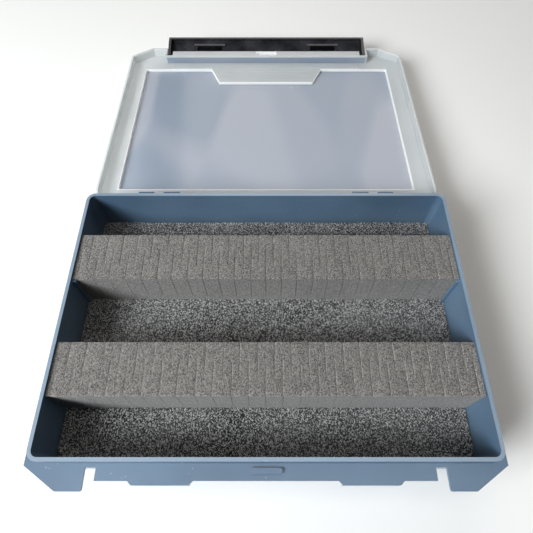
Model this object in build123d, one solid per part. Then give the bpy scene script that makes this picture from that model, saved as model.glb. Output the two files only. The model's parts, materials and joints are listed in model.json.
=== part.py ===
"""Lure case: a deep tub with slit foam strips, a hinged lid and a full-width latch bar.

Millimetres, +X to the right, +Y to the hinge side, +Z up. The origin is the middle of
the tub's underside. The lid is drawn shut and the latch bar hooked; both are then
turned to the open pose.
"""
from build123d import *
import os

# Tub
tub_length = 251.0
tub_width = 171.0
rim_height = 50.0
tub_corner_radius = 6.0
tub_wall = 2.1
tub_floor = 2.2
tub_draft = 0.4
tub_bottom_fillet = 3.0
foot_height = 0.8

# Flange that runs round the tub under the rim
flange_height = 45.0
flange_thickness = 2.0
flange_reach = 2.0
front_reach = 8.6
wing_reach = 13.4
wing_shoulder = 1.4
wing_tip_x = 108.8
tip_radius = 1.2

# Slots for the latch bar's cheeks
slot_inner_x = 89.3
slot_outer_x = 95.1
slot_root = 2.3

# Catch tabs on the front flange
tab_inner_x = 38.0
tab_outer_x = 72.0
tab_reach = 2.0
tab_bevel = 2.0
tab_skirt_thickness = 1.5
tab_skirt_depth = 5.0

# Small raised lozenge in the middle of the front flange
lozenge_length = 17.4
lozenge_width = 3.0
lozenge_height = 1.5
lozenge_setback = 2.6

# Ribs on the end walls that stop the rear foam strip
stop_rib_thickness = 1.6
stop_rib_reach = 2.4
stop_rib_top_gap = 2.5

# Lid
lid_wall = 1.5
lid_side_clearance = 0.5
lid_edge_gap = 0.3
lid_depth = 9.5
lid_deck = 1.8
lid_edge_fillet = 1.2
lid_corner_radius = 7.0
lid_wing_radius = 2.0
lid_flange_thickness = 1.8
lid_front_reach = 8.3
lid_open_angle = 184.4
pocket_clearance = 0.5
pocket_wall = 1.0
pocket_roof = 1.0

# Window panel, raised from the lid's deck
panel_half_length = 113.5
panel_front_y = -75.8
panel_back_y = 73.8
panel_rise = 2.4
panel_corner_radius = 1.5
notch_outer_x = 52.0
notch_inner_x = 43.5
notch_depth = 19.5
grip_rib_pitch = 2.4
grip_rib_width = 0.9
grip_rib_height = 0.4
grip_rib_margin = 1.8
foot_inset = 13.0

# Hinges
hinge_setback = 3.0
hinge_drop = 4.5
knuckle_radius = 2.6
hinge_center_x = 77.5
lid_knuckle_length = 6.4
knuckle_gap = 0.35
tub_knuckle_length = 11.0
pin_radius = 1.0
pin_fit = 0.02
pin_running_fit = 0.06
pin_inset = 0.6
hinge_arm_height = 5.0
hinge_web_height = 8.0
ledge_notch = 0.8

# Latch bar
latch_pivot_setback = 6.5
latch_pivot_height = 4.7
latch_pivot_running_fit = 0.06
latch_open_angle = 60.0
latch_end_gap = 0.5
latch_thickness = 2.2
latch_clearance = 0.6
latch_height_below_pivot = 20.5
latch_height_above_pivot = 3.2
latch_lip_reach = 3.0
latch_lip_thickness = 1.6
latch_edge_radius = 0.6
cheek_thickness = 2.4
cheek_end_radius = 3.0
trunnion_radius = 1.6
hook_thickness = 1.8
hook_gap = 0.5
hook_overlap = 1.6
pocket_height = 4.0
pocket_margin = 3.0
pocket_depth = 1.2

# Foam
foam_side_clearance = 0.3
foam_sheet_thickness = 12.9
foam_corner_radius = 4.0
strip_height = 32.6
strip_rear_front_y = 19.7
strip_rear_depth = 32.4
strip_front_back_y = -21.5
strip_front_depth = 30.8
slit_pitch = 10.0
slit_width = 0.3
slit_share = 0.66
slit_root = 5.0

# Lengths that follow from the sizes above
half_length = tub_length / 2
half_width = tub_width / 2
floor_top = foot_height + tub_floor
hinge_y = half_width + flange_reach + hinge_setback
hinge_z = flange_height - hinge_drop
lid_edge_z = flange_height + lid_edge_gap
lid_top_z = lid_edge_z + lid_depth
deck_z = lid_top_z - lid_deck
wing_y = -half_width - wing_reach
front_y = -half_width - front_reach
tab_y = front_y - tab_reach
latch_inner_y = tab_y - latch_clearance
latch_outer_y = latch_inner_y - latch_thickness
latch_pivot_y = -half_width - latch_pivot_setback
latch_pivot_z = lid_edge_z + latch_pivot_height
latch_half_length = slot_outer_x - latch_end_gap
skirt_bottom_z = flange_height - flange_thickness - tab_skirt_depth
hook_top_z = skirt_bottom_z - hook_gap
foam_top_z = floor_top + foam_sheet_thickness
stop_rib_y = strip_rear_front_y - foam_side_clearance - stop_rib_thickness / 2

hinge_axis = Axis((0, hinge_y, hinge_z), (1, 0, 0))
latch_axis = Axis((0, latch_pivot_y, latch_pivot_z), (1, 0, 0))


def plate(face, bottom, thickness):
    """Extrude a flat outline drawn in plan from one height upward."""
    return extrude(Plane.XY.offset(bottom) * face, amount=thickness)


def span(x0, x1, y0, y1, z0, z1):
    """Box given by its limits along the three axes."""
    return Pos((x0 + x1) / 2, (y0 + y1) / 2, (z0 + z1) / 2) * Box(
        abs(x1 - x0), abs(y1 - y0), abs(z1 - z0))


def prism_x(points, x0, x1):
    """Extrude an outline of (y, z) points along X from x0 to x1."""
    face = make_face(Polyline([(x0, y, z) for y, z in points], close=True))
    return extrude(face, amount=abs(x1 - x0), dir=(1, 0, 0))


def rod_x(x0, x1, y, z, radius):
    """Round rod along X between two stations."""
    return Pos((x0 + x1) / 2, y, z) * Rot(0, 90, 0) * Cylinder(radius, abs(x1 - x0))


def both_sides(shape):
    """The shape with its mirror image across the YZ plane."""
    return [shape, mirror(shape, about=Plane.YZ)]


def tapered_block(length, width, radius, top, bottom):
    """Rounded block that narrows by the draft angle from its top to its bottom."""
    outline = Plane.XY.offset(top) * RectangleRounded(length, width, radius)
    return extrude(outline, amount=top - bottom, dir=(0, 0, -1), taper=tub_draft)


def front_outline(reach):
    """Plan of a front flange with two wings, open slots and a straight middle edge."""
    outer_x = half_length + flange_reach
    middle_y = -half_width - reach
    wings = make_face(Polyline([
        (-outer_x, -half_width + tub_corner_radius),
        (-outer_x, -half_width - wing_shoulder),
        (-wing_tip_x, wing_y), (wing_tip_x, wing_y),
        (outer_x, -half_width - wing_shoulder),
        (outer_x, -half_width + tub_corner_radius)], close=True))
    wings -= make_face(Polyline([
        (-slot_outer_x, middle_y), (-slot_outer_x, wing_y * 2),
        (slot_outer_x, wing_y * 2), (slot_outer_x, middle_y)], close=True))
    slot_length = wing_reach * 2
    slot_x = (slot_inner_x + slot_outer_x) / 2
    slot_y = -half_width - slot_root - slot_length / 2
    for x in (-slot_x, slot_x):
        wings -= Pos(x, slot_y) * Rectangle(slot_outer_x - slot_inner_x, slot_length)
    tips = [v for v in wings.vertices() if v.Y < wing_y + 0.01]
    return fillet(tips, tip_radius)


def flange_plan(reach):
    """Plan of a whole flange: a narrow ledge all round and the front outline."""
    ledge = RectangleRounded(tub_length + 2 * flange_reach, tub_width + 2 * flange_reach,
                             tub_corner_radius + flange_reach)
    return ledge + front_outline(reach)


def lozenge(grow=0.0):
    """Plan of the raised lozenge in the middle of the front flange."""
    y = -half_width - lozenge_setback - lozenge_width / 2
    return Pos(0, y) * SlotOverall(lozenge_length + 2 * grow, lozenge_width + 2 * grow)


def catch_tabs():
    """Two bevelled tabs on the flange's edge, each with a skirt for the hook."""
    solids = []
    underside = flange_height - flange_thickness
    for side in (-1, 1):
        face = make_face(Polyline([
            (side * tab_inner_x, front_y + tab_bevel),
            (side * tab_inner_x, front_y),
            (side * (tab_inner_x + tab_bevel), tab_y),
            (side * (tab_outer_x - tab_bevel), tab_y),
            (side * tab_outer_x, front_y),
            (side * tab_outer_x, front_y + tab_bevel)], close=True))
        solids.append(plate(face, underside, flange_thickness))
        solids.append(span(side * (tab_inner_x + tab_bevel), side * (tab_outer_x - tab_bevel),
                           tab_y, tab_y + tab_skirt_thickness, skirt_bottom_z, underside + 0.5))
    return solids


def hinge_stations():
    """X limits of the lid's knuckle and of the tub's two knuckles in the right hinge."""
    lid_x0 = hinge_center_x - lid_knuckle_length / 2
    lid_x1 = hinge_center_x + lid_knuckle_length / 2
    inner = (lid_x0 - knuckle_gap - tub_knuckle_length, lid_x0 - knuckle_gap)
    outer = (lid_x1 + knuckle_gap, lid_x1 + knuckle_gap + tub_knuckle_length)
    return (lid_x0, lid_x1), (inner, outer)


def tub_knuckle(x0, x1):
    """Tub knuckle with the web that carries it from the back wall."""
    root_y = half_width - tub_wall / 2
    web = prism_x([(root_y, hinge_z - hinge_web_height),
                   (hinge_y, hinge_z - knuckle_radius),
                   (hinge_y, hinge_z + knuckle_radius * 0.8),
                   (half_width + flange_reach, flange_height - flange_thickness / 2),
                   (root_y, flange_height - flange_thickness / 2)], x0, x1)
    return web + rod_x(x0, x1, hinge_y, hinge_z, knuckle_radius)


def base_shell():
    """Tub with its flange, catch tabs, hinge knuckles, stacking foot and stop ribs."""
    tub = tapered_block(tub_length, tub_width, tub_corner_radius, rim_height, foot_height)
    tub = fillet(tub.faces().sort_by(Axis.Z)[0].edges(), tub_bottom_fillet)
    foot = RectangleRounded(tub_length - 2 * foot_inset, tub_width - 2 * foot_inset,
                            tub_corner_radius)
    tub += plate(foot, 0, foot_height)
    tub += plate(flange_plan(front_reach), flange_height - flange_thickness, flange_thickness)
    tub += catch_tabs()
    tub += plate(lozenge(), flange_height - 0.5, lozenge_height + 0.5)
    for x0, x1 in hinge_stations()[1]:
        tub += both_sides(tub_knuckle(x0, x1))
    (x0, x1), _ = hinge_stations()
    tub -= both_sides(span(x0 - knuckle_gap, x1 + knuckle_gap,
                           half_width + flange_reach - ledge_notch, hinge_y + knuckle_radius,
                           flange_height - 2 * flange_thickness, flange_height + 1))
    tub -= tapered_block(tub_length - 2 * tub_wall, tub_width - 2 * tub_wall,
                         tub_corner_radius - tub_wall, rim_height, floor_top)
    rib = span(half_length - tub_wall - stop_rib_reach, half_length - tub_wall / 2,
               stop_rib_y - stop_rib_thickness / 2, stop_rib_y + stop_rib_thickness / 2,
               floor_top - tub_floor / 2, rim_height - stop_rib_top_gap)
    tub += both_sides(rib)
    for x0, x1 in hinge_stations()[1]:
        tub -= both_sides(rod_x(x0 - pin_inset, x1 + pin_inset, hinge_y, hinge_z,
                                pin_radius + pin_fit))
    return tub


def panel_plan(grow=0.0):
    """Plan of the window panel with its trapezoid notch at the front edge."""
    x = panel_half_length + grow
    front = panel_front_y - grow
    back = panel_back_y + grow
    outer = notch_outer_x - grow
    inner = notch_inner_x - grow
    root = panel_front_y + notch_depth - grow
    face = make_face(Polyline([
        (-x, front), (-outer, front), (-inner, root), (inner, root), (outer, front),
        (x, front), (x, back), (-x, back)], close=True))
    return fillet(face.vertices(), panel_corner_radius)


def grip_ribs():
    """Fine cross ribs on the inside of the deck, before the panel and in its notch."""
    start = -half_width - lid_side_clearance + grip_rib_margin
    end = panel_front_y + notch_depth - grip_rib_margin
    solids = []
    for i in range(int((end - start) / grip_rib_pitch) + 1):
        y = start + i * grip_rib_pitch
        share = max(0.0, (y - panel_front_y) / notch_depth)
        half = notch_outer_x + (notch_inner_x - notch_outer_x) * share - grip_rib_margin
        if y < panel_front_y - grip_rib_width:
            half = slot_inner_x
        solids.append(span(-half, half, y - grip_rib_width / 2, y + grip_rib_width / 2,
                           deck_z - grip_rib_height, deck_z + 0.2))
    return solids


def lid_plan():
    """Plan of the lid's body: its corners run out into two wings beside the latch bar."""
    outer_x = half_length + lid_side_clearance + lid_wall
    back = half_width + lid_side_clearance + lid_wall
    shoulder = -half_width - wing_shoulder
    face = make_face(Polyline([
        (-outer_x, back), (-outer_x, shoulder), (-wing_tip_x, wing_y),
        (wing_tip_x, wing_y), (outer_x, shoulder), (outer_x, back)], close=True))
    face = fillet([v for v in face.vertices() if v.Y > 0], lid_corner_radius)
    face = fillet([v for v in face.vertices() if v.Y < shoulder + 0.01], lid_wing_radius)
    recess_depth = wing_reach * 2
    return face - Pos(0, -back - recess_depth / 2) * Rectangle(2 * slot_outer_x,
                                                               recess_depth)


def lid_rail():
    """Narrow flange between the latch bar's cheeks, with a pocket over the lozenge."""
    root = -half_width - lid_side_clearance - lid_wall / 2
    edge = -half_width - lid_front_reach
    rail = span(-slot_inner_x, slot_inner_x, edge, root, lid_edge_z,
                lid_edge_z + lid_flange_thickness)
    rail += plate(lozenge(pocket_clearance + pocket_wall), lid_edge_z,
                  lid_flange_thickness + pocket_roof)
    return rail - plate(lozenge(pocket_clearance), lid_edge_z, lid_flange_thickness)


def lid_shell():
    """Lid, shut: shallow pan with wings, a raised window, a rail and hinge arms."""
    plan = lid_plan()
    lid = plate(plan, lid_edge_z, lid_depth)
    lid = fillet(lid.faces().sort_by(Axis.Z)[-1].edges(), lid_edge_fillet)
    raised = plate(panel_plan(lid_deck), lid_top_z - 0.5, panel_rise + 0.5)
    lid += fillet(raised.faces().sort_by(Axis.Z)[-1].edges(), lid_edge_fillet)
    lid -= plate(offset(plan, amount=-lid_wall, kind=Kind.INTERSECTION), lid_edge_z,
                 deck_z - lid_edge_z)
    lid -= plate(panel_plan(), deck_z - 0.5, panel_rise + 0.5)
    lid += lid_rail()
    lid += grip_ribs()
    (x0, x1), _ = hinge_stations()
    back = half_width + lid_side_clearance + lid_wall
    arm = prism_x([(back - lid_wall / 2, lid_edge_z),
                   (back, lid_edge_z),
                   (hinge_y - knuckle_radius * 0.8, hinge_z),
                   (hinge_y + knuckle_radius * 0.7, hinge_z + knuckle_radius * 0.7),
                   (back, lid_edge_z + hinge_arm_height),
                   (back - lid_wall / 2, lid_edge_z + hinge_arm_height)], x0, x1)
    lid += both_sides(arm + rod_x(x0, x1, hinge_y, hinge_z, knuckle_radius))
    lid -= both_sides(rod_x(x0 - pin_inset, x1 + pin_inset, hinge_y, hinge_z,
                            pin_radius + pin_running_fit))
    lid -= both_sides(rod_x(slot_outer_x - lid_wall, slot_outer_x + 2 * lid_wall,
                            latch_pivot_y, latch_pivot_z,
                            trunnion_radius + latch_pivot_running_fit))
    return lid


def hinge_pins():
    """One steel pin in each hinge."""
    _, (inner, outer) = hinge_stations()
    pin = rod_x(inner[0] + pin_inset, outer[1] - pin_inset, hinge_y, hinge_z, pin_radius)
    return Compound(children=[s for p in both_sides(pin) for s in p.solids()])


def latch_cheek():
    """Tapered cheek and trunnion at the bar's right end."""
    x0 = latch_half_length - cheek_thickness
    tip_z = latch_pivot_z - latch_height_below_pivot
    y = latch_pivot_y + cheek_end_radius * 0.97
    blade = prism_x([
        (latch_outer_y + latch_edge_radius, tip_z),
        (latch_inner_y + latch_lip_reach, tip_z),
        (y, latch_pivot_z - cheek_end_radius * 0.25),
        (latch_pivot_y, latch_pivot_z + cheek_end_radius),
        (latch_outer_y + latch_edge_radius, latch_pivot_z + cheek_end_radius)],
        x0, latch_half_length)
    blade += rod_x(x0, latch_half_length, latch_pivot_y, latch_pivot_z, cheek_end_radius)
    return blade + rod_x(x0, slot_outer_x + lid_wall, latch_pivot_y, latch_pivot_z,
                         trunnion_radius)


def latch_bar():
    """Latch bar, hooked: a plate with a lip, cheeks, and two hook ledges with pockets."""
    tip_z = latch_pivot_z - latch_height_below_pivot
    top_z = latch_pivot_z + latch_height_above_pivot
    bar = span(-latch_half_length, latch_half_length, latch_outer_y, latch_inner_y,
               tip_z, top_z)
    front = bar.faces().sort_by(Axis.Y)[0]
    bar = fillet(front.edges(), latch_edge_radius)
    lip_y = latch_inner_y + latch_lip_reach
    bar += span(-latch_half_length, latch_half_length, latch_inner_y - 0.5, lip_y,
                tip_z, tip_z + latch_lip_thickness)
    bar += both_sides(latch_cheek())
    hook_y = latch_inner_y + latch_clearance + hook_overlap
    for side in (-1, 1):
        x0 = side * (tab_inner_x + tab_bevel)
        x1 = side * (tab_outer_x - tab_bevel)
        bar += span(x0, x1, latch_inner_y - 0.5, hook_y, hook_top_z - hook_thickness,
                    hook_top_z)
        bar -= span(x0 + side * pocket_margin, x1 - side * pocket_margin,
                    latch_inner_y - pocket_depth, latch_inner_y + 1, hook_top_z,
                    hook_top_z + pocket_height)
    return bar


def foam_sheet():
    """Foam sheet on the floor, cut out round the two stop ribs."""
    inset = tub_wall + foam_side_clearance + 0.3
    sheet = plate(RectangleRounded(tub_length - 2 * inset, tub_width - 2 * inset,
                                   foam_corner_radius), floor_top, foam_sheet_thickness)
    gap = foam_side_clearance
    notch = span(half_length - tub_wall - stop_rib_reach - gap, half_length,
                 stop_rib_y - stop_rib_thickness / 2 - gap,
                 stop_rib_y + stop_rib_thickness / 2 + gap, floor_top, foam_top_z)
    return sheet - both_sides(notch)


def foam_strip(front, depth):
    """Foam strip across the tub, slit from both long faces in turn."""
    half = half_length - tub_wall - foam_side_clearance
    back = front + depth
    strip = span(-half, half, front, back, foam_top_z, foam_top_z + strip_height)
    bottom = foam_top_z + slit_root
    reach = depth * slit_share
    slits = []
    count = int(half / slit_pitch)
    for i in range(-count, count + 1):
        x = i * slit_pitch
        slits.append(span(x - slit_width / 2, x + slit_width / 2, front - 1, front + reach,
                          bottom, foam_top_z + strip_height + 1))
        x += slit_pitch / 2
        if x + slit_pitch / 2 < half:
            slits.append(span(x - slit_width / 2, x + slit_width / 2, back - reach,
                              back + 1, bottom, foam_top_z + strip_height + 1))
    return strip - slits


def opened_lid(shape):
    """Turn a piece of the shut lid to the open pose."""
    return shape.rotate(hinge_axis, -lid_open_angle)


def main():
    """Write every piece in the open pose."""
    os.makedirs("parts", exist_ok=True)
    pieces = {
        "base_shell": base_shell(),
        "lid_shell": opened_lid(lid_shell()),
        "latch_bar": opened_lid(latch_bar().rotate(latch_axis, -latch_open_angle)),
        "hinge_pins": hinge_pins(),
        "foam_sheet": foam_sheet(),
        "foam_strip_rear": foam_strip(strip_rear_front_y, strip_rear_depth),
        "foam_strip_front": foam_strip(strip_front_back_y - strip_front_depth,
                                       strip_front_depth),
    }
    for name, shape in pieces.items():
        export_step(shape, f"parts/{name}.step")


main()
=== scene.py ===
"""Dressing and lighting of an open lure case with a frosted lid and slit foam strips."""

import json
import logging
import math
from dataclasses import dataclass, field
from enum import Enum
from random import Random
from typing import Callable, Dict, List, NamedTuple, Sequence, Tuple

import bmesh
import bpy
from mathutils import Euler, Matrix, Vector

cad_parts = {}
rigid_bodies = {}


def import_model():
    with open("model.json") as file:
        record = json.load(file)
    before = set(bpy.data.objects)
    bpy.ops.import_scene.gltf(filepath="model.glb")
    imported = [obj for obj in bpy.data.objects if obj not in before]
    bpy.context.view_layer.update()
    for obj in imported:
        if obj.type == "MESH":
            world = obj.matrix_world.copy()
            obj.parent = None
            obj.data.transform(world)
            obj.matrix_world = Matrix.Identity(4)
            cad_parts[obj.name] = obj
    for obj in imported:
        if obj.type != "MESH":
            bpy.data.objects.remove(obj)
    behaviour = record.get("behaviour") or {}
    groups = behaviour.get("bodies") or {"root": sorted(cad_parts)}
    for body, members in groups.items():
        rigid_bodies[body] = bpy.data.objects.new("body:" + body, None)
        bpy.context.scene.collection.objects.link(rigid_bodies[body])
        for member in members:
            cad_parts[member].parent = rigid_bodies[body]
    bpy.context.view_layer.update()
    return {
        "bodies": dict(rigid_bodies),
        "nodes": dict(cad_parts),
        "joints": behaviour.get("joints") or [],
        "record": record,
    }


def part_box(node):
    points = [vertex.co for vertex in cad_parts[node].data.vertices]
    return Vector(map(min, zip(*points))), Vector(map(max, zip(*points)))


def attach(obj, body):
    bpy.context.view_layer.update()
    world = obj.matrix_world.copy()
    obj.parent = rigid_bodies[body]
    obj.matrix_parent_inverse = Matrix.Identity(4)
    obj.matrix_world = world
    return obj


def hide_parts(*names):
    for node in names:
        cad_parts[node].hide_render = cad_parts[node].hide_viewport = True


Colour = Tuple[float, float, float]
Point = Tuple[float, float, float]
Span = Tuple[float, float]
Socket = bpy.types.NodeSocket
Piece = bpy.types.Object

MM = 0.001
PLASTIC_IOR = 1.49
SCATTER_DEPTH = 4.0 * MM
DRIFT_RANGE: Span = (0.3, 0.7)
SHARP_EDGE = math.radians(50)
log = logging.getLogger("lure_case")


class Side(Enum):
    """Long face of a foam strip that a slit opens to."""

    FRONT = -1
    BACK = 1


class Slit(NamedTuple):
    """A slit's place along its strip, and the face that it opens to."""

    x: float
    side: Side


class Spot(NamedTuple):
    """Where on a part a shader is: from its middle, along its depth, and up."""

    across: Socket
    along: Socket
    rise: Socket


def tint(red: int, green: int, blue: int) -> Colour:
    """Turn an 8-bit display colour into the linear colour that shaders use.

    Args:
        red: Red, 0 to 255.
        green: Green, 0 to 255.
        blue: Blue, 0 to 255.

    Returns:
        The linear colour.
    """
    def linear(channel: int) -> float:
        """Linear value of one channel."""
        value = channel / 255
        return value / 12.92 if value <= 0.04045 else ((value + 0.055) / 1.055) ** 2.4
    return linear(red), linear(green), linear(blue)


class NodeSheet:
    """A node tree with short calls for adding, placing and joining nodes."""

    def __init__(self, tree: bpy.types.NodeTree) -> None:
        """Keep the tree and start its layout at the left."""
        self.tree = tree
        self.column = 0

    def add(self, kind: str, **settings: object) -> bpy.types.Node:
        """Add a node and set its properties.

        Args:
            kind: The node's type name.
            settings: Property names and values.

        Returns:
            The new node.
        """
        node = self.tree.nodes.new(kind)
        node.location = (self.column * 180, -120 * (self.column % 4))
        self.column += 1
        for name, value in settings.items():
            setattr(node, name, value)
        return node

    def join(self, source: Socket, target: Socket) -> None:
        """Link one socket to another."""
        self.tree.links.new(source, target)

    def feed(self, node: bpy.types.Node, entry: object, value: object) -> None:
        """Link an input, or set it when a plain number or colour is given.

        Args:
            node: The node.
            entry: The input's name or number.
            value: A socket, number or colour.
        """
        if isinstance(value, bpy.types.NodeSocket):
            self.join(value, node.inputs[entry])
        else:
            node.inputs[entry].default_value = value

    def texture(self, kind: str, inputs: Dict[str, object],
                **settings: object) -> bpy.types.Node:
        """Add a texture node.

        Args:
            kind: The node's type name.
            inputs: Input names with their numbers or sockets.
            settings: Property names and values.

        Returns:
            The texture node.
        """
        node = self.add(kind, **settings)
        for label, value in inputs.items():
            self.feed(node, label, value)
        return node

    def mapping(self, where: Socket, **values: object) -> Socket:
        """Move, turn or scale coordinates.

        Args:
            where: The coordinates.
            values: Location, Rotation or Scale.

        Returns:
            The new coordinates.
        """
        node = self.add("ShaderNodeMapping", vector_type="POINT")
        for label, value in values.items():
            node.inputs[label].default_value = value
        self.join(where, node.inputs["Vector"])
        return node.outputs[0]

    def math(self, operation: str, *values: object) -> Socket:
        """Add a math node.

        Args:
            operation: The math operation's name.
            values: Numbers or sockets for its inputs, in order.

        Returns:
            The result socket.
        """
        node = self.add("ShaderNodeMath", operation=operation)
        for index, value in enumerate(values):
            self.feed(node, index, value)
        return node.outputs[0]

    def product(self, first: object, *others: object) -> Socket:
        """Multiply masks or numbers in turn.

        Args:
            first: A number or socket.
            others: The rest, in order.

        Returns:
            The product's socket.
        """
        for other in others:
            first = self.math("MULTIPLY", first, other)
        return first

    def blend(self, share: object, low: object, high: object) -> Socket:
        """Mix two colours.

        Args:
            share: Mix factor, a number or socket.
            low: Colour at 0.
            high: Colour at 1.

        Returns:
            The mixed colour's socket.
        """
        node = self.add("ShaderNodeMix", data_type="RGBA")
        self.feed(node, 0, share)
        for index, value in ((6, low), (7, high)):
            self.feed(node, index, (*value, 1.0) if isinstance(value, tuple) else value)
        return node.outputs[2]

    def ramp(self, value: Socket, low: float, high: float, bottom: float = 0.0,
             top: float = 1.0) -> Socket:
        """Remap a value linearly and clamp it.

        Args:
            value: The input socket.
            low: Input that gives bottom.
            high: Input that gives top.
            bottom: Output at low.
            top: Output at high.

        Returns:
            The remapped value's socket.
        """
        node = self.add("ShaderNodeMapRange")
        for index, entry in enumerate((value, low, high, bottom, top)):
            self.feed(node, index, entry)
        return node.outputs[0]

    def channel(self, colour: Socket, index: int) -> Socket:
        """One channel of a colour.

        Args:
            colour: The colour's socket.
            index: 0 for red, 1 for green, 2 for blue.

        Returns:
            The channel's socket.
        """
        node = self.add("ShaderNodeSeparateColor")
        self.join(colour, node.inputs[0])
        return node.outputs[index]

    def spot(self, where: Socket) -> Spot:
        """Split coordinates, with the first one measured from the middle.

        Args:
            where: The coordinates.

        Returns:
            The three values.
        """
        node = self.add("ShaderNodeSeparateXYZ")
        self.join(where, node.inputs[0])
        return Spot(self.math("ABSOLUTE", node.outputs[0]), node.outputs[1],
                    node.outputs[2])


class EffectGroups:
    """Shader node groups that several finishes share."""

    speck_edge: Span = (0.30, 0.12)
    pore_width: float = 0.55

    def __init__(self) -> None:
        """Build each group once."""
        self.grain = self._moulded_grain()
        self.specks = self._dust_specks()
        self.pores = self._foam_pores()

    def _new(self, name: str, inputs: Dict[str, float],
             outputs: Sequence[str]) -> Tuple[NodeSheet, bpy.types.Node, bpy.types.Node]:
        """Start a group with float inputs and outputs.

        Args:
            name: The group's name.
            inputs: Input names and defaults.
            outputs: Output names.

        Returns:
            The sheet, the group input node and the group output node.
        """
        tree = bpy.data.node_groups.new(name, "ShaderNodeTree")
        tree.interface.new_socket("Vector", in_out="INPUT", socket_type="NodeSocketVector")
        for label, value in inputs.items():
            socket = tree.interface.new_socket(label, in_out="INPUT",
                                               socket_type="NodeSocketFloat")
            socket.default_value = value
        for label in outputs:
            tree.interface.new_socket(label, in_out="OUTPUT", socket_type="NodeSocketFloat")
        sheet = NodeSheet(tree)
        return sheet, sheet.add("NodeGroupInput"), sheet.add("NodeGroupOutput")

    def _moulded_grain(self) -> bpy.types.NodeTree:
        """Fine mould texture with slow drift, for plastics.

        Returns:
            The group.
        """
        sheet, source, result = self._new(
            "moulded_grain", {"Fine Scale": 900.0, "Drift Scale": 14.0}, ("Height", "Drift"))
        where = source.outputs["Vector"]
        for scale, detail, label in (("Fine Scale", 2.0, "Height"),
                                     ("Drift Scale", 3.0, "Drift")):
            noise = sheet.texture("ShaderNodeTexNoise", {
                "Vector": where, "Scale": source.outputs[scale], "Detail": detail})
            sheet.join(noise.outputs[0], result.inputs[label])
        return sheet.tree

    def _dust_specks(self) -> bpy.types.NodeTree:
        """Sparse pale specks and short scuffs.

        Returns:
            The group.
        """
        sheet, source, result = self._new(
            "dust_specks", {"Scale": 260.0, "Amount": 0.04}, ("Mask",))
        cells = sheet.texture("ShaderNodeTexVoronoi", {
            "Vector": source.outputs["Vector"], "Scale": source.outputs["Scale"]},
            feature="F1")
        rare = sheet.math("LESS_THAN", sheet.channel(cells.outputs["Color"], 0),
                          source.outputs["Amount"])
        near = sheet.ramp(cells.outputs["Distance"], *self.speck_edge)
        sheet.join(sheet.product(rare, near), result.inputs["Mask"])
        return sheet.tree

    def _foam_pores(self) -> bpy.types.NodeTree:
        """Open cells of foam: a height that is low in the pores, and a shade that varies from
        cell to cell.

        Returns:
            The group.
        """
        sheet, source, result = self._new(
            "foam_pores", {"Cell Scale": 700.0, "Speckle": 0.5}, ("Height", "Shade"))
        where, scale = source.outputs["Vector"], source.outputs["Cell Scale"]
        speckle = source.outputs["Speckle"]
        cells = sheet.texture("ShaderNodeTexVoronoi", {"Vector": where, "Scale": scale},
                              feature="F1")
        rough = sheet.texture("ShaderNodeTexNoise", {
            "Vector": where, "Scale": scale, "Detail": 3.0, "Roughness": 0.7})
        pit = sheet.ramp(cells.outputs["Distance"], 0.0, self.pore_width)
        smooth = sheet.math("SUBTRACT", 1.0, speckle)
        uneven = sheet.math(
            "ADD", sheet.product(rough.outputs[0], smooth),
            sheet.product(sheet.channel(cells.outputs["Color"], 1), speckle))
        sheet.join(sheet.product(pit, uneven), result.inputs["Height"])
        sheet.join(uneven, result.inputs["Shade"])
        return sheet.tree


@dataclass
class Bench:
    """A material in the making: its sheet, shader, object coordinates and effects."""

    sheet: NodeSheet
    shader: bpy.types.Node
    where: Socket
    effects: EffectGroups

    def effect(self, tree: bpy.types.NodeTree, where: Socket,
               **values: float) -> bpy.types.Node:
        """Place a shared effect group.

        Args:
            tree: The group.
            where: Coordinates for the effect, in metres.
            values: Input values, with underscores for spaces.

        Returns:
            The group node.
        """
        node = self.sheet.add("ShaderNodeGroup", node_tree=tree)
        self.sheet.join(where, node.inputs["Vector"])
        for label, value in values.items():
            node.inputs[label.replace("_", " ")].default_value = value
        return node

    def give(self, label: str, value: Socket) -> None:
        """Link a value that changes over the surface to the shader."""
        self.sheet.join(value, self.shader.inputs[label])

    def plain(self, **values: object) -> None:
        """Set what is the same all over, with underscores for spaces."""
        for label, value in values.items():
            self.shader.inputs[label.replace("_", " ")].default_value = value

    def bump(self, height: Socket, strength: float, distance: float) -> None:
        """Drive the shader's normal from a height.

        Args:
            height: Height socket.
            strength: Share of the bump that is used.
            distance: Depth in metres.
        """
        node = self.sheet.texture("ShaderNodeBump", {
            "Strength": strength, "Distance": distance, "Height": height})
        self.give("Normal", node.outputs[0])


class Finish:
    """Base of the finishes: makes a material with one Principled shader."""

    def build(self, effects: EffectGroups) -> bpy.types.Material:
        """Make the material.

        Args:
            effects: Shared effect groups.

        Returns:
            The material.
        """
        material = bpy.data.materials.new(self.name)
        material.use_nodes = True
        sheet = NodeSheet(material.node_tree)
        where = sheet.add("ShaderNodeTexCoord").outputs["Object"]
        self.paint(Bench(sheet, material.node_tree.nodes["Principled BSDF"], where, effects))
        return material

    def paint(self, bench: Bench) -> None:
        """Join the finish's own nodes to the shader; each finish has its own."""
        raise NotImplementedError


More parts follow.
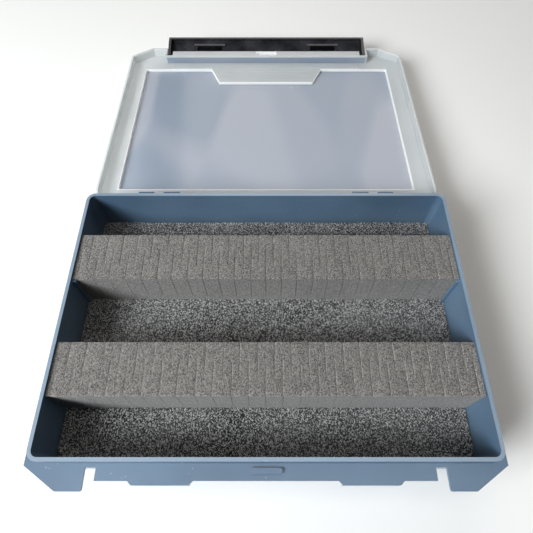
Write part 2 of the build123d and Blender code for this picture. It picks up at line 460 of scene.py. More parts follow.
@dataclass(frozen=True)
class TubPlastic(Finish):
    """Satin blue-grey polypropylene of the tub."""

    deep: Colour = tint(76, 101, 125)
    pale: Colour = tint(92, 118, 142)
    dust: Colour = tint(190, 198, 204)
    dust_share: float = 0.35
    # Painted highlight colour for the top of the rim.
    rim_painted_highlight: Colour = tint(168, 184, 198)
    rim_highlight_share: float = 0.4
    rim_z: float = 50.0 * MM
    roughness: Span = (0.28, 0.42)
    name: str = "tub_plastic_blue_grey"

    def paint(self, bench: Bench) -> None:
        """Mix the blue-grey, a painted highlight along the top of the rim, and the dust.

        Args:
            bench: The material in the making.
        """
        sheet = bench.sheet
        grain = bench.effect(bench.effects.grain, bench.where, Fine_Scale=1100.0,
                             Drift_Scale=18.0)
        specks = bench.effect(bench.effects.specks, bench.where, Scale=520.0, Amount=0.035)
        drift = grain.outputs["Drift"]
        # Painted highlight: the top 0.4 mm of the rim is mixed towards a pale blue-grey.
        rim_highlight = sheet.ramp(sheet.spot(bench.where).rise, self.rim_z - 0.5 * MM,
                         self.rim_z - 0.1 * MM)
        body = sheet.blend(sheet.ramp(drift, *DRIFT_RANGE), self.deep, self.pale)
        body = sheet.blend(sheet.product(rim_highlight, self.rim_highlight_share), body, self.rim_painted_highlight)
        bench.give("Base Color", sheet.blend(
            sheet.product(specks.outputs["Mask"], self.dust_share), body, self.dust))
        bench.give("Roughness", sheet.ramp(drift, 0.2, 0.8, *self.roughness))
        bench.plain(IOR=PLASTIC_IOR, Subsurface_Weight=0.12, Subsurface_Scale=SCATTER_DEPTH,
                    Coat_Weight=0.5, Coat_Roughness=0.22)
        bench.bump(grain.outputs["Height"], 0.25, 0.08 * MM)


@dataclass(frozen=True)
class LatchPlastic(Finish):
    """Glossy black plastic of the latch bar, with its sizes as it is hooked."""

    hinge: Point
    open_angle: float
    pivot: Point = (0.0, -92.0 * MM, 50.0 * MM)
    rest_turn: float = math.radians(60.0)
    ledge_x: Span = (40.0 * MM, 70.0 * MM)
    ledge_z: Span = (35.7 * MM, 37.5 * MM)
    slot_x: Span = (43.0 * MM, 67.0 * MM)
    slot_z: Span = (37.5 * MM, 41.5 * MM)
    plate_y: float = -96.7 * MM
    lip_y: float = -94.6 * MM
    lip_z: float = 31.2 * MM
    blur: float = 0.1 * MM
    black: Colour = tint(28, 28, 31)
    grey: Colour = tint(50, 50, 55)
    # Painted highlight colour for the ledges and the lip.
    painted_highlight: Colour = tint(88, 86, 87)
    painted_highlight_share: float = 0.8
    shadow: Colour = tint(7, 7, 9)
    roughness: Span = (0.16, 0.32)
    name: str = "latch_plastic_black"

    def hooked(self, bench: Bench) -> Spot:
        """Find the place on the bar as it is hooked on the shut case.

        Args:
            bench: The material in the making.

        Returns:
            The place, in metres.
        """
        open_turn = Euler((self.open_angle, 0.0, 0.0)).to_matrix()
        bar_turn = Euler((self.rest_turn, 0.0, 0.0)).to_matrix()
        centre, pivot = Vector(self.hinge), Vector(self.pivot)
        shift = centre - open_turn @ centre
        return bench.sheet.spot(bench.sheet.mapping(
            bench.where, Rotation=(self.open_angle + self.rest_turn, 0.0, 0.0),
            Location=bar_turn @ (shift - pivot) + pivot))

    def band(self, sheet: NodeSheet, value: Socket, limits: Span) -> Socket:
        """Mask that is 1 where a value lies between two limits.

        Args:
            sheet: The material's sheet.
            value: The value.
            limits: The two limits, low and high.

        Returns:
            The mask's socket.
        """
        low, high = limits
        return sheet.product(sheet.ramp(value, low - self.blur, low + self.blur),
                             sheet.ramp(value, high + self.blur, high - self.blur))

    def paint(self, bench: Bench) -> None:
        """Mix the black, a painted highlight on the ledges and the lip, and painted shadow in
        the slots.

        Args:
            bench: The material in the making.
        """
        sheet = bench.sheet
        spot = self.hooked(bench)
        grain = bench.effect(bench.effects.grain, bench.where, Fine_Scale=700.0,
                             Drift_Scale=60.0)
        drift = grain.outputs["Drift"]
        # Painted highlight: the ledges and the lip are mixed towards a lighter grey.
        ledge = sheet.product(
            self.band(sheet, spot.across, self.ledge_x),
            self.band(sheet, spot.rise, self.ledge_z),
            sheet.ramp(spot.along, self.plate_y + 0.2 * MM, self.plate_y + 0.4 * MM))
        tip = sheet.product(
            sheet.ramp(spot.along, self.lip_y, self.lip_y + 0.5 * MM),
            sheet.ramp(spot.rise, self.lip_z + self.blur, self.lip_z))
        # Painted shadow: the slots are mixed towards near black.
        slot = sheet.product(self.band(sheet, spot.across, self.slot_x),
                             self.band(sheet, spot.rise, self.slot_z))
        body = sheet.blend(sheet.ramp(drift, 0.35, 0.7), self.black, self.grey)
        body = sheet.blend(
            sheet.product(sheet.math("MAXIMUM", ledge, tip), self.painted_highlight_share), body,
            self.painted_highlight)
        bench.give("Base Color", sheet.blend(slot, body, self.shadow))
        bench.give("Roughness", sheet.ramp(drift, *DRIFT_RANGE, *self.roughness))
        bench.bump(grain.outputs["Height"], 0.15, 0.06 * MM)


@dataclass(frozen=True)
class PinSteel(Finish):
    """Drawn steel of the hinge pins."""

    steel: Colour = tint(188, 190, 192)
    steel_shade: Colour = tint(150, 150, 152)
    roughness: Span = (0.22, 0.38)
    name: str = "hinge_pin_steel"

    def paint(self, bench: Bench) -> None:
        """Mix the drawn steel.

        Args:
            bench: The material in the making.
        """
        grain = bench.effect(bench.effects.grain, bench.where, Fine_Scale=2500.0,
                             Drift_Scale=300.0)
        bench.give("Base Color", bench.sheet.blend(grain.outputs["Drift"], self.steel,
                                                   self.steel_shade))
        bench.give("Roughness", bench.sheet.ramp(grain.outputs["Height"], *DRIFT_RANGE,
                                                 *self.roughness))
        bench.plain(Metallic=1.0)


@dataclass(frozen=True)
class FoamFinish(Finish):
    """Dark foam with open cells."""

    name: str
    light: Colour
    dark: Colour
    cell_scale: float
    speckle: float
    depth: float
    shade: Span
    drift_share: float = 0.12

    def paint(self, bench: Bench) -> None:
        """Mix the cells' dark and light, with a slow drift over the piece.

        Args:
            bench: The material in the making.
        """
        sheet = bench.sheet
        pores = bench.effect(bench.effects.pores, bench.where, Cell_Scale=self.cell_scale,
                             Speckle=self.speckle)
        grain = bench.effect(bench.effects.grain, bench.where, Fine_Scale=2400.0,
                             Drift_Scale=30.0)
        body = sheet.blend(sheet.ramp(pores.outputs["Shade"], *self.shade), self.dark,
                           self.light)
        drift = sheet.ramp(grain.outputs["Drift"], 0.3, 0.75, 0.0, self.drift_share)
        bench.give("Base Color", sheet.blend(drift, body, self.light))
        bench.plain(Roughness=0.92, Specular_IOR_Level=0.25, Sheen_Weight=0.25,
                    Sheen_Roughness=0.6)
        bench.bump(pores.outputs["Height"], 0.9, self.depth)


@dataclass(frozen=True)
class LidPlastic(Finish):
    """Lid plastic: a clear window in a frosted border, with sizes as the lid lies shut."""

    hinge: Point
    open_angle: float
    window_half: float = 113.5 * MM
    window_front: float = -75.8 * MM
    window_back: float = 73.8 * MM
    window_z: float = 55.3 * MM
    notch_outer: float = 52.0 * MM
    notch_inner: float = 43.5 * MM
    notch_depth: float = 19.5 * MM
    blur: float = 0.2 * MM
    line_width: float = 0.9 * MM
    edge_highlight_share: float = 0.85
    rim_z: float = 46.2 * MM
    rim_highlight_share: float = 0.4
    band_half: float = 95.0 * MM
    band_y: float = -85.9 * MM
    tab_half: float = 10.2 * MM
    tab_y: float = -87.6 * MM
    clear: Colour = tint(158, 170, 186)
    clear_sheen: Colour = tint(180, 186, 199)
    frost: Colour = tint(214, 218, 219)
    frost_shade: Colour = tint(198, 204, 207)
    # Near-white colour for the painted edge highlights and also for the dust specks.
    highlight_and_dust: Colour = tint(250, 251, 251)
    dust_share: float = 0.4
    roughness: Span = (0.42, 0.12)
    opacity: Span = (0.66, 0.68)
    line_opacity: float = 0.9
    scatter: Span = (0.7, 0.2)
    relief: Span = (1.0, 0.1)
    name: str = "lid_plastic_frosted_and_clear"

    def shut(self, bench: Bench) -> Socket:
        """Find the coordinates on the lid as it lies shut.

        Args:
            bench: The material in the making.

        Returns:
            The coordinates, in metres.
        """
        turn = Euler((self.open_angle, 0.0, 0.0)).to_matrix()
        centre = Vector(self.hinge)
        return bench.sheet.mapping(bench.where, Rotation=(self.open_angle, 0.0, 0.0),
                                   Location=centre - turn @ centre)

    def outline(self, sheet: NodeSheet, spot: Spot, grow: float) -> Socket:
        """Mask of the window's plan with its notch.

        Args:
            sheet: The material's sheet.
            spot: Place on the shut lid.
            grow: How far the mask reaches past the window's edge, in metres.

        Returns:
            The mask's socket, 1 inside.
        """
        blur = self.blur
        half, front, back = (self.window_half + grow, self.window_front - grow,
                             self.window_back + grow)
        run = sheet.math("SUBTRACT", spot.along, self.window_front)
        slope = (self.notch_outer - self.notch_inner) / self.notch_depth
        notch_half = sheet.math("SUBTRACT", self.notch_outer - grow,
                                sheet.product(run, slope))
        notch_end = self.notch_depth - grow
        beside = sheet.ramp(sheet.math("SUBTRACT", spot.across, notch_half), -blur, blur)
        past = sheet.ramp(run, notch_end - blur, notch_end + blur)
        return sheet.product(sheet.ramp(spot.across, half + blur, half - blur),
                             sheet.ramp(spot.along, front - blur, front + blur),
                             sheet.ramp(spot.along, back + blur, back - blur),
                             sheet.math("MAXIMUM", beside, past))

    def rail_tab(self, sheet: NodeSheet, spot: Spot) -> Socket:
        """Mask of a painted highlight on the small raised tab in the middle of the rail.

        Args:
            sheet: The material's sheet.
            spot: Place on the shut lid.

        Returns:
            The mask's socket.
        """
        return sheet.product(
            sheet.ramp(spot.across, self.tab_half, self.tab_half - 0.3 * MM),
            sheet.ramp(spot.along, self.tab_y, self.tab_y - 0.3 * MM))

    def front_band(self, sheet: NodeSheet, spot: Spot) -> Socket:
        """Mask of the clear front wall between the wings.

        Args:
            sheet: The material's sheet.
            spot: Place on the shut lid.

        Returns:
            The mask's socket.
        """
        return sheet.product(
            sheet.ramp(spot.across, self.band_half, self.band_half - 0.5 * MM),
            sheet.ramp(spot.along, self.band_y + 0.2 * MM, self.band_y),
            sheet.ramp(spot.rise, self.rim_z + 0.9 * MM, self.rim_z + 1.2 * MM))

    def painted_sheen(self, sheet: NodeSheet, where: Socket) -> Socket:
        """Painted sheen: broad slanted patches, as sheen falls on a large clear panel.

        Args:
            sheet: The material's sheet.
            where: Coordinates on the shut lid.

        Returns:
            The patches' socket, 0 to 1.
        """
        slant = sheet.mapping(where, Rotation=(0.0, 0.0, math.radians(24)),
                              Scale=(1.0, 0.4, 0.0))
        patches = sheet.texture("ShaderNodeTexVoronoi", {
            "Scale": 17.0, "Smoothness": 0.35, "Vector": slant}, feature="SMOOTH_F1")
        return sheet.channel(patches.outputs["Color"], 0)

    def paint(self, bench: Bench) -> None:
        """Mix the frosted border, the painted highlights along its edges, and the clear
        window.

        Args:
            bench: The material in the making.
        """
        sheet = bench.sheet
        where = self.shut(bench)
        spot = sheet.spot(where)
        window = sheet.product(
            self.outline(sheet, spot, 0.0),
            sheet.ramp(spot.rise, self.window_z - 0.3 * MM, self.window_z))
        # Painted highlight: the step round the window, the rim and the rail's tab are mixed
        # towards near white and made more opaque.
        step = sheet.product(self.outline(sheet, spot, self.line_width),
                             sheet.math("SUBTRACT", 1.0, window))
        rim_highlight = sheet.ramp(spot.rise, self.rim_z + 0.3 * MM, self.rim_z)
        edge_highlight = sheet.math("MAXIMUM", step, sheet.product(rim_highlight, self.rim_highlight_share))
        edge_highlight = sheet.math("MAXIMUM", edge_highlight, self.rail_tab(sheet, spot))
        glazed = sheet.math("MAXIMUM", window, self.front_band(sheet, spot))
        grain = bench.effect(bench.effects.grain, where, Fine_Scale=1500.0, Drift_Scale=9.0)
        specks = bench.effect(bench.effects.specks, where, Scale=300.0, Amount=0.006)
        frosted = sheet.blend(sheet.ramp(grain.outputs["Drift"], *DRIFT_RANGE), self.frost,
                              self.frost_shade)
        frosted = sheet.blend(sheet.product(edge_highlight, self.edge_highlight_share), frosted, self.highlight_and_dust)
        # Painted sheen: the clear window is mixed towards a paler blue-grey in slanted
        # patches.
        clear = sheet.blend(sheet.ramp(self.painted_sheen(sheet, where), 0.25, 0.75), self.clear,
                            self.clear_sheen)
        bench.give("Base Color", sheet.blend(
            sheet.product(specks.outputs["Mask"], self.dust_share),
            sheet.blend(glazed, frosted, clear), self.highlight_and_dust))
        bench.give("Roughness", sheet.ramp(window, 0.0, 1.0, *self.roughness))
        bench.give("Alpha", sheet.math(
            "MAXIMUM", sheet.ramp(window, 0.0, 1.0, *self.opacity),
            sheet.product(edge_highlight, self.line_opacity)))
        bench.give("Subsurface Weight", sheet.ramp(window, 0.0, 1.0, *self.scatter))
        bench.plain(Subsurface_Scale=SCATTER_DEPTH, Subsurface_Radius=(1.0, 1.0, 1.0),
                    IOR=PLASTIC_IOR)
        bench.bump(sheet.product(grain.outputs["Height"],
                                 sheet.ramp(window, 0.0, 1.0, *self.relief)), 0.4, 0.1 * MM)


@dataclass(frozen=True)
class FloorPaint(Finish):
    """Plain pale floor that stays pale where the lamps don't reach."""

    pale: Colour = tint(240, 240, 238)
    pale_shade: Colour = tint(236, 236, 235)
    glow_span: Span = (0.6, 2.2)
    glow: float = 0.9
    name: str = "studio_floor_pale"

    def paint(self, bench: Bench) -> None:
        """Mix the paint and let its far parts glow to the camera.

        Args:
            bench: The material in the making.
        """
        sheet = bench.sheet
        grain = bench.effect(bench.effects.grain, bench.where, Fine_Scale=40.0,
                             Drift_Scale=3.0)
        paint = sheet.blend(sheet.ramp(grain.outputs["Drift"], *DRIFT_RANGE), self.pale,
                            self.pale_shade)
        bench.give("Base Color", paint)
        bench.give("Emission Color", paint)
        far = sheet.add("ShaderNodeVectorMath", operation="LENGTH")
        sheet.join(bench.where, far.inputs[0])
        seen = sheet.add("ShaderNodeLightPath").outputs["Is Camera Ray"]
        bench.give("Emission Strength", sheet.product(
            seen, sheet.ramp(far.outputs["Value"], *self.glow_span, 0.0, self.glow)))
        bench.plain(Roughness=0.9, Specular_IOR_Level=0.1)


def deselect() -> None:
    """Leave edit mode and select nothing."""
    if bpy.context.object and bpy.context.object.mode != "OBJECT":
        bpy.ops.object.mode_set(mode="OBJECT")
    bpy.ops.object.select_all(action="DESELECT")


def activate(piece: Piece) -> None:
    """Select one object alone and make it active.

    Args:
        piece: The object.
    """
    deselect()
    piece.select_set(True)
    bpy.context.view_layer.objects.active = piece


def block(name: str, low: Point, high: Point) -> Piece:
    """Add a box between two corners.

    Args:
        name: The object's name.
        low: Lowest corner, in metres.
        high: Highest corner, in metres.

    Returns:
        The box, at the origin with its place in its mesh.
    """
    deselect()
    centre = [(a + b) / 2 for a, b in zip(low, high)]
    bpy.ops.mesh.primitive_cube_add(size=1.0, location=centre)
    piece = bpy.context.object
    piece.name = name
    piece.data.name = name
    piece.scale = [b - a for a, b in zip(low, high)]
    activate(piece)
    bpy.ops.object.transform_apply(location=True, rotation=True, scale=True)
    return piece


def slice_along(piece: Piece, axis: int, stations: Sequence[float]) -> None:
    """Cut extra edge loops into a piece at stations along one axis.

    Args:
        piece: The mesh object.
        axis: 0, 1 or 2.
        stations: Places of the loops, in metres.
    """
    activate(piece)
    bpy.ops.object.mode_set(mode="EDIT")
    normal = [0.0, 0.0, 0.0]
    normal[axis] = 1.0
    for station in stations:
        bpy.ops.mesh.select_all(action="SELECT")
        place = [0.0, 0.0, 0.0]
        place[axis] = station
        bpy.ops.mesh.bisect(plane_co=place, plane_no=normal)
    bpy.ops.object.mode_set(mode="OBJECT")


def apply_modifier(piece: Piece, kind: str, **settings: object) -> None:
    """Add a modifier, set it and apply it.

    Args:
        piece: The mesh object.
        kind: Modifier type name.
        settings: Property names and values.
    """
    activate(piece)
    modifier = piece.modifiers.new(kind.lower(), kind)
    for name, value in settings.items():
        setattr(modifier, name, value)
    bpy.ops.object.modifier_apply(modifier=modifier.name)


def carve(piece: Piece, cutters: List[Piece]) -> None:
    """Subtract the cutters from a piece and delete them.

    Args:
        piece: The mesh object.
        cutters: Boxes that don't overlap one another.
    """
    deselect()
    for cutter in cutters:
        cutter.select_set(True)
    bpy.context.view_layer.objects.active = cutters[0]
    if len(cutters) > 1:
        bpy.ops.object.join()
    tool = bpy.context.object
    apply_modifier(piece, "BOOLEAN", operation="DIFFERENCE", solver="EXACT", object=tool)
    bpy.data.objects.remove(tool, do_unlink=True)


def shape_points(piece: Piece, move: Callable[[Vector], Vector]) -> None:
    """Move each point of a mesh by a rule, as a sculpting pass.

    Args:
        piece: The mesh object.
        move: Gives a point's new place from its old one.
    """
    for vertex in piece.data.vertices:
        vertex.co = move(vertex.co.copy())
    piece.data.update()


def dress(piece: Piece, *materials: bpy.types.Material) -> None:
    """Give a piece its materials, in order.

    Args:
        piece: The mesh object.
        materials: The materials.
    """
    piece.data.materials.clear()
    for material in materials:
        piece.data.materials.append(material)


@dataclass
class Tub:
    """The tub and its hinge pins."""

    frame: Dict[str, object]
    finish: TubPlastic = field(default_factory=TubPlastic)
    steel: PinSteel = field(default_factory=PinSteel)

    def build(self, effects: EffectGroups) -> None:
        """Dress the moulded tub and the pins.

        Args:
            effects: Shared effect groups.
        """
        dress(self.frame["nodes"]["base_shell"], self.finish.build(effects))
        dress(self.frame["nodes"]["hinge_pins"], self.steel.build(effects))
        log.info("tub dressed")


@dataclass
class Lid:
    """The frosted lid with its clear window."""

    frame: Dict[str, object]
    hinge: Point = (0.0, 90.5 * MM, 40.5 * MM)
    open_angle: float = math.radians(184.4)

    def build(self, effects: EffectGroups) -> None:
        """Dress the lid.

        Args:
            effects: Shared effect groups.
        """
        finish = LidPlastic(self.hinge, self.open_angle)
        dress(self.frame["nodes"]["lid_shell"], finish.build(effects))
        log.info("lid dressed")


@dataclass
class LatchBar:
    """The black latch bar."""

    frame: Dict[str, object]
    lid: Lid

    def build(self, effects: EffectGroups) -> None:
        """Dress the latch bar.

        Args:
            effects: Shared effect groups.
        """
        finish = LatchPlastic(self.lid.hinge, self.lid.open_angle)
        dress(self.frame["nodes"]["latch_bar"], finish.build(effects))
        log.info("latch bar dressed")


class Swell(NamedTuple):
    """One gentle wave in the foam sheet: its rates each way and its share."""

    along_x: float
    along_y: float
    share: float


@dataclass
class FoamSheet:
    """Coarse dark foam sheet on the tub's floor."""

    node: str = "foam_sheet"
    pitch: float = 8.0 * MM
    corner: float = 4.0 * MM
    corner_steps: int = 4
    sag: float = 0.35 * MM
    sag_mean: float = 0.75
    sag_swing: float = 0.5
    swells: Tuple[Swell, ...] = (Swell(61, 83, 1.0), Swell(137, 151, 0.5))
    rib_depth: float = 2.9 * MM
    rib_width: float = 2.3 * MM
    rib_y: float = 18.6 * MM
    smooth_angle: float = math.radians(35)
    seed: int = 11
    finish: FoamFinish = FoamFinish(
        name="foam_sheet_open_cell", light=tint(196, 196, 195), dark=tint(8, 8, 8),
        cell_scale=1900.0, speckle=0.95, depth=0.4 * MM, shade=(0.5, 0.95))

    def build(self, effects: EffectGroups) -> Piece:
        """Model the sheet, dress it and seat it in the tub.

        Args:
            effects: Shared effect groups.

        Returns:
            The foam sheet.
        """
        low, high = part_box(self.node)
        sheet = block("foam_floor_sheet", low, high)
        self._round_corners(sheet)
        self._notch(sheet, low, high)
        for axis in (0, 1):
            count = int((high[axis] - low[axis]) / self.pitch)
            slice_along(sheet, axis, [low[axis] + (i + 0.5) * self.pitch
                                      for i in range(count)])
        self._soften(sheet, high.z)
        dress(sheet, self.finish.build(effects))
        activate(sheet)
        bpy.ops.object.shade_smooth_by_angle(angle=self.smooth_angle)
        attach(sheet, "tub")
        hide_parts(self.node)
        log.info("foam sheet built")
        return sheet

    def _round_corners(self, sheet: Piece) -> None:
        """Bevel the four upright edges.

        Args:
            sheet: The foam sheet.
        """
        activate(sheet)
        bpy.ops.object.mode_set(mode="EDIT")
        mesh = bmesh.from_edit_mesh(sheet.data)
        for edge in mesh.edges:
            a, b = (v.co for v in edge.verts)
            edge.select_set(abs(a.x - b.x) < 1e-6 and abs(a.y - b.y) < 1e-6)
        bmesh.update_edit_mesh(sheet.data)
        bpy.ops.mesh.bevel(offset=self.corner, segments=self.corner_steps)
        bpy.ops.object.mode_set(mode="OBJECT")

    def _notch(self, sheet: Piece, low: Vector, high: Vector) -> None:
        """Cut a notch in each end for the rib on the tub's end wall.

        Args:
            sheet: The foam sheet.
            low: Its lowest corner.
            high: Its highest corner.
        """
        ends = ((low.x - MM, low.x + self.rib_depth - MM),
                (high.x - self.rib_depth + MM, high.x + MM))
        carve(sheet, [block(f"rib_notch_{i}",
                            (x0, self.rib_y - self.rib_width / 2, low.z - MM),
                            (x1, self.rib_y + self.rib_width / 2, high.z + MM))
                      for i, (x0, x1) in enumerate(ends)])

    def _soften(self, sheet: Piece, top: float) -> None:
        """Let the upper face dip slightly, unevenly.

        Args:
            sheet: The foam sheet.
            top: Height of its upper face.
        """
        wave = Random(self.seed)
        phases = [(wave.uniform(0, math.tau), wave.uniform(0, math.tau))
                  for _ in self.swells]

        def move(point: Vector) -> Vector:
            """Lower a point of the upper face.

            Args:
                point: The point.

            Returns:
                Its new place.
            """
            if point.z > top - 0.01 * MM:
                swell = sum(math.sin(point.x * rate.along_x + phase_x)
                            * math.sin(point.y * rate.along_y + phase_y) * rate.share
                            for rate, (phase_x, phase_y) in zip(self.swells, phases))
                point.z -= self.sag * (self.sag_mean + self.sag_swing * swell)
            return point
        shape_points(sheet, move)


@dataclass
class FoamStrip:
    """Foam strip across the tub, slit in turn from its front and back faces."""

    node: str
    seed: int
    pitch: float = 10.0 * MM
    slit: float = 0.22 * MM
    share: float = 0.66
    root: float = 5.0 * MM
    shoulder: float = 0.32 * MM
    shoulder_steps: int = 2
    droop: float = 0.25 * MM
    droop_reach: float = 1.5 * MM
    crown: float = 0.25
    unevenness: float = 0.30 * MM
    lift_mean: float = 0.6
    lift_swing: float = 0.4
    lean: float = 0.5 * MM
    end_margin: float = 3.0 * MM
    loop_reach: float = 1.4 * MM
    depth_loops: Tuple[float, ...] = (0.08, 0.25, 0.5, 0.75, 0.92)
    height_loops: Tuple[float, ...] = (0.2, 0.5, 0.8, 0.93)
    upper_zone: float = 2.0 * MM
    level_edge: float = 0.9 * MM
    smooth_angle: float = math.radians(40)
    finish: FoamFinish = FoamFinish(
        name="foam_strip_fine_cell", light=tint(149, 146, 142), dark=tint(34, 33, 33),
        cell_scale=2600.0, speckle=0.9, depth=0.2 * MM, shade=(0.1, 0.9))
    # Painted highlight: a paler foam finish for the bevelled edges of the slits and the upper
    # face.
    painted_highlight: FoamFinish = FoamFinish(
        name="foam_strip_painted_edge_highlight", light=tint(210, 205, 199), dark=tint(100, 98, 96),
        cell_scale=2600.0, speckle=0.9, depth=0.1 * MM, shade=(0.1, 0.9))

    def slits(self, low: Vector, high: Vector) -> List[Slit]:
        """Place the slits along the strip, in order.

        Args:
            low: The strip's lowest corner.
            high: Its highest corner.

        Returns:
            The slits.
        """
        middle = (low.x + high.x) / 2
        count = int((high.x - middle) / self.pitch)
        places = [Slit(middle + i * self.pitch, Side.FRONT)
                  for i in range(-count, count + 1)]
        for i in range(-count, count + 1):
            x = middle + (i + 0.5) * self.pitch
            if x + self.pitch / 2 < high.x:
                places.append(Slit(x, Side.BACK))
        return sorted(places, key=lambda place: place.x)

    def build(self, effects: EffectGroups, materials: List[bpy.types.Material]) -> Piece:
        """Model the strip, dress it and seat it on the foam sheet.

        Args:
            effects: Shared effect groups.
            materials: The finishes of an earlier strip, or an empty list to make them.

        Returns:
            The foam strip.
        """
        low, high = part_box(self.node)
        strip = block(self.node + "_slit", low, high)
        slits = self.slits(low, high)
        slice_along(strip, 0, sorted({round(slit.x + step, 6) for slit in slits
                                      for step in (-self.loop_reach, self.loop_reach)}))
        depth, height = high.y - low.y, high.z - low.z
        slice_along(strip, 1, [low.y + depth * part for part in self.depth_loops])
        slice_along(strip, 2, [low.z + height * part for part in self.height_loops])
        self._cut(strip, slits, low, high)
        self._relax(strip, slits, low, high)
        dress(strip, *(materials or [self.finish.build(effects), self.painted_highlight.build(effects)]))
        self._mark_upper_edges(strip, high.z)
        # The bevel faces take material 1, the painted highlight finish.
        apply_modifier(strip, "BEVEL", width=self.shoulder, segments=self.shoulder_steps,
                       limit_method="WEIGHT", material=1)
        activate(strip)
        bpy.ops.object.shade_smooth_by_angle(angle=self.smooth_angle)
        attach(strip, "tub")
        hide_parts(self.node)
        log.info("%s built", strip.name)
        return strip

    def _mark_upper_edges(self, strip: Piece, top: float) -> None:
        """Give full bevel weight to the sharp level edges of the upper face.

        Args:
            strip: The foam strip.
            top: Height of its upper face.
        """
        weights = strip.data.attributes.new("bevel_weight_edge", "FLOAT", "EDGE")
        mesh = bmesh.new()
        mesh.from_mesh(strip.data)
        values = []
        for edge in mesh.edges:
            first, second = (v.co.z for v in edge.verts)
            upper = min(first, second) > top - self.upper_zone
            level = abs(first - second) <= self.level_edge
            sharp = len(edge.link_faces) == 2 and edge.calc_face_angle() > SHARP_EDGE
            values.append(1.0 if upper and sharp and level else 0.0)
        mesh.free()
        weights.data.foreach_set("value", values)

    def _cut(self, strip: Piece, slits: List[Slit], low: Vector, high: Vector) -> None:
        """Cut the slits with copies of one thin blade.

        Args:
            strip: The foam strip.
            slits: Its slits.
            low: Its lowest corner.
            high: Its highest corner.
        """
        reach = (high.y - low.y) * self.share
        blades = []
        for index, (x, side) in enumerate(slits):
            y0, y1 = ((low.y - MM, low.y + reach) if side is Side.FRONT
                      else (high.y - reach, high.y + MM))
            blades.append(block(f"blade_{index}",
                                (x - self.slit / 2, y0, low.z + self.root),
                                (x + self.slit / 2, y1, high.z + MM)))
        carve(strip, blades)

    def _relax(self, strip: Piece, slits: List[Slit], low: Vector, high: Vector) -> None:
        """Droop the foam at each slit and set each finger at its own height.

        Args:
            strip: The foam strip.
            slits: Its slits.
            low: Its lowest corner.
            high: Its highest corner.
        """
        chance = Random(self.seed)
        lifts = [chance.uniform(-1, 1) for _ in range(len(slits) + 1)]
        leans = [chance.uniform(-1, 1) for _ in slits]
        height = high.z - low.z

        def move(point: Vector) -> Vector:
            """Move one point of the strip.

            Args:
                point: The point.

            Returns:
                Its new place.
            """
            up = max(0.0, (point.z - low.z - self.root) / (height - self.root))
            nearest = min(range(len(slits)), key=lambda i: abs(slits[i].x - point.x))
            slit_x, side = slits[nearest]
            across = (point.y - low.y) / (high.y - low.y)
            slit_here = across < self.share if side is Side.FRONT else across > 1 - self.share
            distance = abs(slit_x - point.x)
            near = math.exp(-(distance / self.droop_reach) ** 2) if slit_here else 0.0
            finger = nearest + (1 if point.x > slit_x else 0)
            drop = self.unevenness * (self.lift_mean - self.lift_swing * lifts[finger])
            bulge = 1.0 - (2 * across - 1) ** 2
            point.z += up ** 3 * (-self.droop * near - drop
                                  + self.crown * self.droop * (bulge - 1.0))
            if low.x + self.end_margin < point.x < high.x - self.end_margin:
                point.x += up ** 2 * self.lean * leans[nearest] * near
            return point
        shape_points(strip, move)


@dataclass(frozen=True)
class Lamp:
    """A rectangular soft lamp: place, target and sides in metres, power in watts."""

    name: str
    place: Point
    target: Point
    sides: Span
    power: float
    colour: Colour

    def build(self) -> None:
        """Hang the lamp and point it at its target."""
        data = bpy.data.lights.new(self.name, "AREA")
        data.shape = "RECTANGLE"
        data.size, data.size_y = self.sides
        data.energy = self.power
        data.color = self.colour
        lamp = bpy.data.objects.new(self.name, data)
        bpy.context.scene.collection.objects.link(lamp)
        lamp.location = self.place
        lamp.rotation_euler = (Vector(self.target) - Vector(self.place)).to_track_quat(
            "-Z", "Y").to_euler()


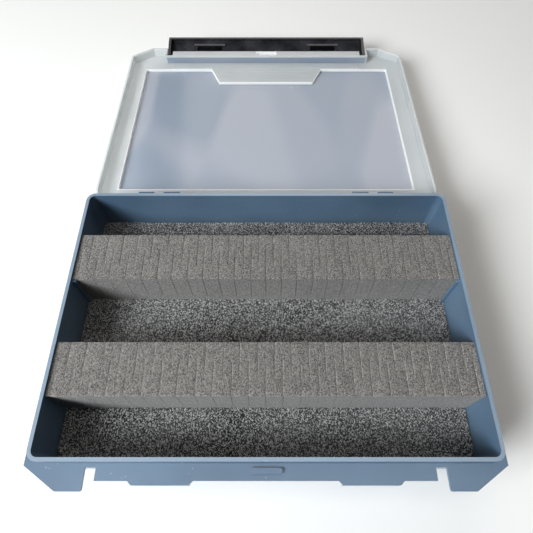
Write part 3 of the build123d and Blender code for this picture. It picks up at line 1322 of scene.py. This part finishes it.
@dataclass
class Studio:
    """Floor, lamps and the camera at the photograph's viewing angle."""

    frame_size: float = 533.0
    focal_pixels: float = 472.12
    centre_row: float = 233.47
    pitch: float = math.radians(58.99)
    eye: Point = (0.32 * MM, -110.21 * MM, 320.50 * MM)
    clip: Span = (0.01, 20.0)
    floor_half: float = 3.0
    ambient: float = 0.02
    backdrop: float = 0.85
    lamps: Tuple[Lamp, ...] = (
        Lamp("key_left", (-0.85, -0.55, 0.85), (0.0, 0.08, 0.02), (0.6, 0.6), 27.0,
             (0.95, 0.98, 1.0)),
        Lamp("strip_above", (0.0, -0.04, 0.7), (0.0, -0.04, 0.0), (0.9, 0.15), 1.0,
             (1.0, 0.97, 0.93)),
        Lamp("back_high", (0.1, 1.0, 0.9), (0.0, 0.08, 0.02), (0.8, 0.8), 4.5,
             (1.0, 0.96, 0.91)))

    def camera(self) -> None:
        """Place the camera found from the photograph's straight edges."""
        data = bpy.data.cameras.new("view_camera")
        camera = bpy.data.objects.new("view_camera", data)
        bpy.context.scene.collection.objects.link(camera)
        camera.location = self.eye
        camera.rotation_euler = (math.pi / 2 - self.pitch, 0.0, 0.0)
        data.sensor_fit = "HORIZONTAL"
        data.sensor_width = 36.0
        data.lens = self.focal_pixels / self.frame_size * data.sensor_width
        data.shift_y = (self.centre_row - self.frame_size / 2) / self.frame_size
        data.clip_start, data.clip_end = self.clip
        bpy.context.scene.camera = camera

    def floor(self, effects: EffectGroups) -> None:
        """Lay the pale floor.

        Args:
            effects: Shared effect groups.
        """
        deselect()
        bpy.ops.mesh.primitive_plane_add(size=2 * self.floor_half, location=(0, 0, 0))
        floor = bpy.context.object
        floor.name = "studio_floor"
        dress(floor, FloorPaint().build(effects))

    def world(self) -> None:
        """Give even surroundings that the camera sees as a pale backdrop."""
        world = bpy.data.worlds.new("studio_air")
        world.use_nodes = True
        sheet = NodeSheet(world.node_tree)
        shade = world.node_tree.nodes["Background"]
        shade.inputs["Color"].default_value = (1.0, 1.0, 1.0, 1.0)
        seen = sheet.add("ShaderNodeLightPath").outputs["Is Camera Ray"]
        sheet.join(sheet.ramp(seen, 0.0, 1.0, self.ambient, self.backdrop),
                   shade.inputs["Strength"])
        bpy.context.scene.world = world

    def build(self, effects: EffectGroups) -> None:
        """Set up the whole studio.

        Args:
            effects: Shared effect groups.
        """
        self.floor(effects)
        for lamp in self.lamps:
            lamp.build()
        self.world()
        self.camera()
        bpy.context.scene.view_settings.view_transform = "Standard"
        log.info("studio built")


def main() -> None:
    """Build and dress the case, piece by piece."""
    logging.basicConfig(level=logging.INFO, format="%(message)s")
    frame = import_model()
    effects = EffectGroups()
    Tub(frame).build(effects)
    lid = Lid(frame)
    lid.build(effects)
    LatchBar(frame, lid).build(effects)
    FoamSheet().build(effects)
    rear = FoamStrip("foam_strip_rear", seed=5).build(effects, [])
    FoamStrip("foam_strip_front", seed=9).build(effects, list(rear.data.materials))
    Studio().build(effects)


if __name__ == "__main__":
    main()
